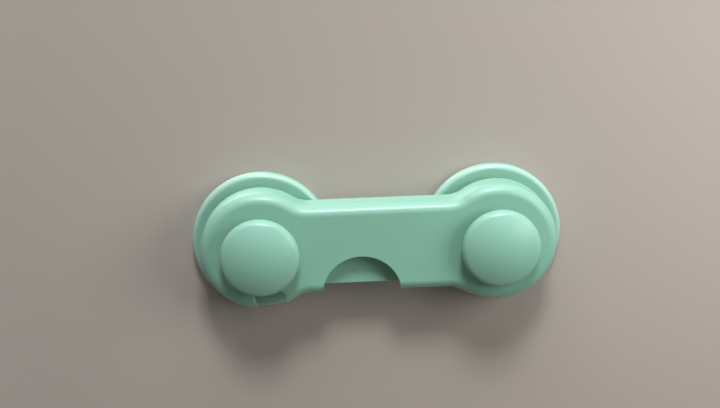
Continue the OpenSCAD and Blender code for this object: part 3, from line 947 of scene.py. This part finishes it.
def slot_mouth(grow):
    """The wider mouth of the slot, straight at the rim and tapered above."""
    rim, below = -HEAD_R, -HEAD_R - OVERRUN
    left, right = LEFT_POST.x - grow, LEFT_POST.x + MOUTH_RIGHT + grow
    return [(left, below), (right, below), (right, rim + MOUTH_H), (left, rim + MOUTH_TAPER_H)]


print("the slot follows the post over %.1f degrees" % PATH_SWEEP)

# %% Openings of the shell
CATCH_ROOM_GAP = 0.3 * MM
KEY_R, STEM_HOLE_R = 5.3 * MM, 2.8 * MM
POCKET_STEPS, HOLE_STEPS = 128, 24
SCREW_HOLE_R, SCREW_REACH = 1.02 * MM, 6.2 * MM


def paint(obj, material):
    """One material over a whole piece, with even shading."""
    obj.data.materials.clear()
    obj.data.materials.append(material)
    return even_shading(obj)


flares = {  # outlines that are rounded at the face, each as a rule that grows it by an amount
    "slot": lambda grow: post_path(PLATE_SLOT_HALF + grow),
    "slot_mouth": slot_mouth,
    "keyhole": lambda grow: circle(LEFT_POST.xy, KEY_R + grow),
    "stem_hole": lambda grow: circle(RIGHT_POST.xy, STEM_HOLE_R + grow)}
carve(shell, "DIFFERENCE", [
    flared("pocket", lambda grow: circle(POCKET, POCKET_R + grow, POCKET_STEPS), ARM_BACK, ARM_FRONT),
    *[flared(name, grown, PLATE_BACK, ARM_FRONT) for name, grown in flares.items()],
    prism("catch_room", post_path(CATCH_R + CATCH_ROOM_GAP), ARM_BACK - OVERRUN, PLATE_BACK),
    *at_screws("screw_hole", SCREW_HOLE_R, HOLE_STEPS, ARM_BACK, ARM_BACK + SCREW_REACH)])
paint(shell, mint)
finish_piece(shell, "arm", "mint_plastic", "arm_shell")

# %% [markdown]
# The back cover
#
# A thin plate closes the hollow from behind. A raised pan in it is the back wall of the finger pocket,
# the wall that the fingertip meets. The pan could be a solid block. It is hollow from behind, as a
# moulder would keep one thickness everywhere. The cover also carries the hub for the pivot bush and the
# counterbores for four screws.

# %% Plate and pan of the cover
SEAM_GAP = 0.12 * MM
COVER_EDGE = 0.2 * MM
POCKET_DEPTH, POCKET_LIP = 4.6 * MM, 1.7 * MM
POCKET_BACK = ARM_FRONT - POCKET_DEPTH


def pocket_pan(inset):
    """The pan that shows in the pocket, a slice of a circle that ends above the arm's lower edge."""
    radius = POCKET_R - SEAM_GAP - inset
    start = math.degrees(math.asin((-BAR_HALF + POCKET_LIP + inset - POCKET[1]) / radius))
    return arc(POCKET, radius, start, 180 - start, CIRCLE_STEPS)


def cover_outline(inset):
    """The arm's outline inside its wall, less a seam."""
    return arm_outline(WALL_T + SEAM_GAP + inset)


def rounded_plate(name, drawn_in, back, front, edge):
    """A plate whose outline is drawn in towards both faces, which rounds its edges."""
    rings = round_back(edge, back, BACK_STEPS) + round_front(edge, front, BACK_STEPS)
    return lofted(name, [(drawn_in(inset), out) for inset, out in rings])


cover = rounded_plate("back_cover", cover_outline, ARM_BACK, COVER_FRONT, COVER_EDGE)
print("cover plate %.1f mm thick, pan %.1f mm behind the face" % (COVER_T / MM, POCKET_DEPTH / MM))

# %% Back cover
BUSH_R, HUB_WALL, HUB_H = 5.05 * MM, 2.2 * MM, 1.3 * MM
HUB_TOP = COVER_FRONT + HUB_H
PRESS_FIT = 0.02 * MM
SCREW_HEAD_R, SCREW_HEAD_H, SCREW_R = 1.9 * MM, 0.9 * MM, 1.0 * MM
HEAD_ROOM_R, HEAD_ROOM_STEPS = SCREW_HEAD_R + SEAM_GAP, 48
SHANK_ROOM_R, SHANK_ROOM_STEPS = SCREW_R + SEAM_GAP, 32
HEAD_FRONT = ARM_BACK + SCREW_HEAD_H
carve(cover, "UNION", [
    rounded_plate("pocket_pan", pocket_pan, ARM_BACK, POCKET_BACK, COVER_EDGE),
    prism("bush_hub", circle(RIGHT_POST.xy, BUSH_R + HUB_WALL), ARM_BACK + COVER_EDGE, HUB_TOP)])
carve(cover, "DIFFERENCE", [
    prism("pan_hollow", pocket_pan(COVER_T), ARM_BACK - OVERRUN, POCKET_BACK - COVER_T),
    prism("bush_hole", circle(RIGHT_POST.xy, BUSH_R + PRESS_FIT), ARM_BACK - OVERRUN, HUB_TOP + OVERRUN),
    prism("cover_slot", post_path(SLOT_HALF), ARM_BACK - OVERRUN, COVER_FRONT + OVERRUN),
    *at_screws("head_room", HEAD_ROOM_R, HEAD_ROOM_STEPS, ARM_BACK - OVERRUN, HEAD_FRONT),
    *at_screws("shank_room", SHANK_ROOM_R, SHANK_ROOM_STEPS, ARM_BACK, COVER_FRONT + OVERRUN)])
paint(cover, mint)
finish_piece(cover, "arm", "mint_plastic", "arm_back_cover")

# %% [markdown]
# Screws in a set of four
#
# Four small screws with a cross recess hold the cover. They could be modelled one by one. They are one
# form at four places, so one screw is turned and carved, and a small node tree then sets it on every
# point of a mesh that holds nothing but the four places.

# %% One screw
SCREW_TIP = -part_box("cover_screws")[0].y
CROSS_W, CROSS_HALF, CROSS_DEPTH = 0.5 * MM, 1.0 * MM, 0.45 * MM
THREAD_PITCH, THREAD_DEPTH = 0.45 * MM, 0.14 * MM
SCREW_STEPS = 44


def screw_profile():
    """From the head's back over its rim, down the threads to the tip. The threads are drawn as rings."""
    count = int((SCREW_TIP - HEAD_FRONT) / THREAD_PITCH) - 1
    threads = []
    for i in range(count):
        crest = HEAD_FRONT + THREAD_PITCH * (i + 1)
        threads += [(SCREW_R - THREAD_DEPTH, crest - THREAD_PITCH / 2, 0), (SCREW_R, crest, 0)]
    return [(0, ARM_BACK, 0), (SCREW_HEAD_R, ARM_BACK, SOFT_EDGE), (SCREW_HEAD_R, HEAD_FRONT, FINE_EDGE),
            (SCREW_R - THREAD_DEPTH, HEAD_FRONT, 0), *threads, (0, SCREW_TIP, 0)]


def block(name, middle, half, low, high):
    """A bar between two heights, given its middle and its half sizes."""
    (x, up), (half_x, half_up) = middle, half
    return prism(name, rectangle(x - half_x, x + half_x, up - half_up, up + half_up), low, high)


one_screw = turned("one_screw", screw_profile(), Vector(), steel, closed=False, steps=SCREW_STEPS)
carve(one_screw, "DIFFERENCE", [
    block("cross", (0, 0), half, ARM_BACK - OVERRUN, ARM_BACK + CROSS_DEPTH)
    for half in ((CROSS_HALF, CROSS_W / 2), (CROSS_W / 2, CROSS_HALF))])


# %% Cover screws
def set_tree():
    """Sets one object on every point of a mesh."""
    tree, given, output = new_tree("set_on_points", ("Piece", "NodeSocketObject"))
    piece = add_node(tree, "GeometryNodeObjectInfo")
    points = add_node(tree, "GeometryNodeMeshToPoints")
    copies = add_node(tree, "GeometryNodeInstanceOnPoints")
    join(tree, (given["Geometry"], points.inputs["Mesh"]), (given["Piece"], piece.inputs["Object"]),
         (points.outputs["Points"], copies.inputs["Points"]),
         (piece.outputs["Geometry"], copies.inputs["Instance"]))
    return end_tree(tree, copies.outputs["Instances"], given, output)


screws = link_mesh("screw_set", [(x, 0, up) for x, up in SCREW_PLACES], [], [])
set_inputs(screws.modifiers.new("places", "NODES"), set_tree(), {"Piece": one_screw, "Material": steel})
plain_mesh(screws)
bpy.data.objects.remove(one_screw)
paint(screws, steel)
finish_piece(screws, "arm", "spring_steel", "cover_screws")

# %% [markdown]
# Springs
#
# Each button stands on a coil of steel wire. A Screw modifier can wind a circle into a coil. A spiral
# curve with a round profile swept along it does the same, and its tree has all the sizes as inputs.

# %% The coil tree
def coil_tree():
    """Sweeps a round wire along a spiral."""
    tree, given, output = new_tree(
        "coil", ("Turns", NUMBER), ("Coil Radius", NUMBER), ("Coil Height", NUMBER), ("Rings", WHOLE),
        ("Wire Radius", NUMBER), ("Wire Sides", WHOLE))
    coil = add_node(tree, "GeometryNodeCurveSpiral")
    wire = add_node(tree, "GeometryNodeCurvePrimitiveCircle")
    sweep = add_node(tree, "GeometryNodeCurveToMesh", Fill_Caps=True)
    join(tree, (given["Rings"], coil.inputs["Resolution"]), (given["Turns"], coil.inputs["Rotations"]),
         (given["Coil Radius"], coil.inputs["Start Radius"]),
         (given["Coil Radius"], coil.inputs["End Radius"]),
         (given["Coil Height"], coil.inputs["Height"]), (given["Wire Radius"], wire.inputs["Radius"]),
         (given["Wire Sides"], wire.inputs["Resolution"]), (coil.outputs["Curve"], sweep.inputs["Curve"]),
         (wire.outputs["Curve"], sweep.inputs["Profile Curve"]))
    return end_tree(tree, sweep.outputs["Mesh"], given, output)


COIL = coil_tree()
print("coil tree:", len(COIL.nodes), "nodes")

# %% Button springs
SPRING_TURNS = 10.0
WIRE_R = 0.25 * MM
RINGS_PER_TURN, WIRE_SIDES = 32, 12
STANDING = Matrix.Rotation(math.radians(90), 4, "X")
for side, post in POSTS.items():
    radius, _, back, front = extent(side + "_spring")
    spring = link_mesh(side + "_coil", [(0, 0, 0)], [], [])
    set_inputs(spring.modifiers.new("coil", "NODES"), COIL, {
        "Turns": SPRING_TURNS, "Coil Radius": radius - WIRE_R, "Coil Height": front - back - 2 * WIRE_R,
        "Rings": RINGS_PER_TURN, "Wire Radius": WIRE_R, "Wire Sides": WIRE_SIDES, "Material": steel})
    plain_mesh(spring)
    spring.data.transform(Matrix.Translation((post.x, -back - WIRE_R, 0)) @ STANDING)
    finish_piece(spring, "bases", "spring_steel", side + "_spring")
    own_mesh(spring)

# %% [markdown]
# Plungers, plugs and the pivot's small turned pieces
#
# What is left inside is turned once more: hollow plungers, the plugs that close the bases, a washer and a
# flanged bush, all in plain acetal. Each could have a function of its own. A profile says all there is to
# say about such a piece, so each is one list of points for the same lathe.

# %% Plungers and plugs
STOP_BACK = -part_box("left_plunger")[1].y
STOP_R, STOP_T, STEM_R = 3.6 * MM, 1.0 * MM, 2.5 * MM
STOP_FRONT = STOP_BACK + STOP_T
SPRING_BORE_R, BORE_END_GAP = 2.0 * MM, 0.8 * MM
SPRING_BORE_TOP = PLATE_BACK - BORE_END_GAP
PLUG_R, NIB_R = 4.55 * MM, 0.9 * MM
NIB_TOP = -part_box("left_spring_plug")[0].y
PLUNGER = [(0, SPRING_BORE_TOP, 0), (SPRING_BORE_R, SPRING_BORE_TOP, 0),
           (SPRING_BORE_R, STOP_BACK, FINE_EDGE), (STOP_R, STOP_BACK, FINE_EDGE),
           (STOP_R, STOP_FRONT, FINE_EDGE), (STEM_R, STOP_FRONT, 0), (STEM_R, STEM_TOP, FINE_EDGE),
           (0, STEM_TOP, 0)]
PLUG = [(0, BASE_BACK, 0), (PLUG_R, BASE_BACK, FINE_EDGE), (PLUG_R, PLUG_FRONT, FINE_EDGE),
        (NIB_R, PLUG_FRONT, 0), (NIB_R, NIB_TOP, SOFT_EDGE), (0, NIB_TOP, 0)]
for side, post in POSTS.items():
    stem = turned(side + "_stem", PLUNGER, post, acetal, closed=False)
    finish_piece(stem, side + "_button", "inner_plastic", side + "_plunger")
    plug = turned(side + "_plug", PLUG, post, acetal, closed=False)
    finish_piece(plug, "bases", "inner_plastic", side + "_spring_plug")

# %% Washer and bush
WASHER_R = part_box("pivot_washer")[1].x
_, _, WASHER_BACK, WASHER_FRONT = extent("pivot_washer")
BUSH_FLANGE_R, _, _, BUSH_FRONT = extent("pivot_bush")
BUSH_BORE_R = 3.75 * MM
WASHER = [(BUSH_BORE_R, WASHER_BACK, 0), (WASHER_R, WASHER_BACK, FINE_EDGE),
          (WASHER_R, WASHER_FRONT, FINE_EDGE), (BUSH_BORE_R, WASHER_FRONT, 0)]
BUSH = [(BUSH_BORE_R, ARM_BACK, FINE_EDGE), (BUSH_R, ARM_BACK, FINE_EDGE), (BUSH_R, HUB_TOP, 0),
        (BUSH_FLANGE_R, HUB_TOP, FINE_EDGE), (BUSH_FLANGE_R, BUSH_FRONT, FINE_EDGE),
        (BUSH_BORE_R, BUSH_FRONT, FINE_EDGE)]
finish_piece(turned("washer", WASHER, RIGHT_POST, acetal), "bases", "inner_plastic", "pivot_washer")
finish_piece(turned("bush", BUSH, RIGHT_POST, acetal), "arm", "inner_plastic", "pivot_bush")

# %% [markdown]
# The latch collet and the retaining clip
#
# The collet is a turned sleeve with barbs at its end, sawn into four springy legs. The clip is a stamped
# open ring. Either could be drawn as one leg or one arm that is then copied round. Both are a round form
# with straight cuts, just as they would be made, so a turned profile is carved with plain bars.

# %% Collet
LEG_R, BARB_R, BARB_IN_R = 3.7 * MM, 5.2 * MM, 3.8 * MM
BARB_GAP, FLARE_RISE, ROOT_RISE, SAW_RUN = 0.1 * MM, 0.3 * MM, 1.5 * MM, 0.3 * MM
BARB_FRONT, BARB_BACK = ARM_FRONT - BARB_GAP, PLATE_BACK + BARB_GAP
LEG_FLARE, LEG_ROOT = ARM_FRONT + FLARE_RISE, BARB_FRONT + ROOT_RISE
SAW_CUT, SAW_END = 0.8 * MM, LEG_ROOT + SAW_RUN
SAW_HALF = BARB_R + OVERRUN
COLLET = [(SOCKET_R, LEG_ROOT, 0), (BARB_IN_R, BARB_FRONT, 0), (BARB_IN_R, BARB_BACK, FINE_EDGE),
          (BARB_R, BARB_BACK, SOFT_EDGE), (BARB_R, BARB_FRONT, FINE_EDGE), (LEG_R, LEG_FLARE, FINE_EDGE),
          (LEG_R, CAP_BACK, FINE_EDGE), (SOCKET_R, CAP_BACK, 0)]
collet = turned("collet", COLLET, LEFT_POST, acetal)
carve(collet, "DIFFERENCE", [block("saw", LEFT_POST.xy, half, BARB_BACK - OVERRUN, SAW_END)
                             for half in ((SAW_HALF, SAW_CUT / 2), (SAW_CUT / 2, SAW_HALF))])
paint(collet, acetal)
finish_piece(collet, "left_button", "inner_plastic", "latch_collet")

# %% Clip
_, CLIP_R, CLIP_BACK, CLIP_FRONT = extent("pivot_clip")
CLIP_IN_R, CLIP_MOUTH = 3.22 * MM, 4.0 * MM
CLIP = [(radius, height, FINE_EDGE) for radius, height in
        ((CLIP_IN_R, CLIP_BACK), (CLIP_R, CLIP_BACK), (CLIP_R, CLIP_FRONT), (CLIP_IN_R, CLIP_FRONT))]
clip = turned("clip", CLIP, RIGHT_POST, steel)
carve(clip, "DIFFERENCE", [block("mouth", (RIGHT_POST.x + CLIP_R, 0), (CLIP_R, CLIP_MOUTH / 2), 0, CAP_BACK)])
paint(clip, steel)
finish_piece(clip, "bases", "spring_steel", "pivot_clip")

# %% [markdown]
# The measured size
#
# One could measure the finished pieces by eye in the viewport. A box round the frame's solids gives
# the measured size in numbers.

# %% The measured box
print("measured, mm:", [round(size / MM, 2) for size in CAD_BOX[1] - CAD_BOX[0]])
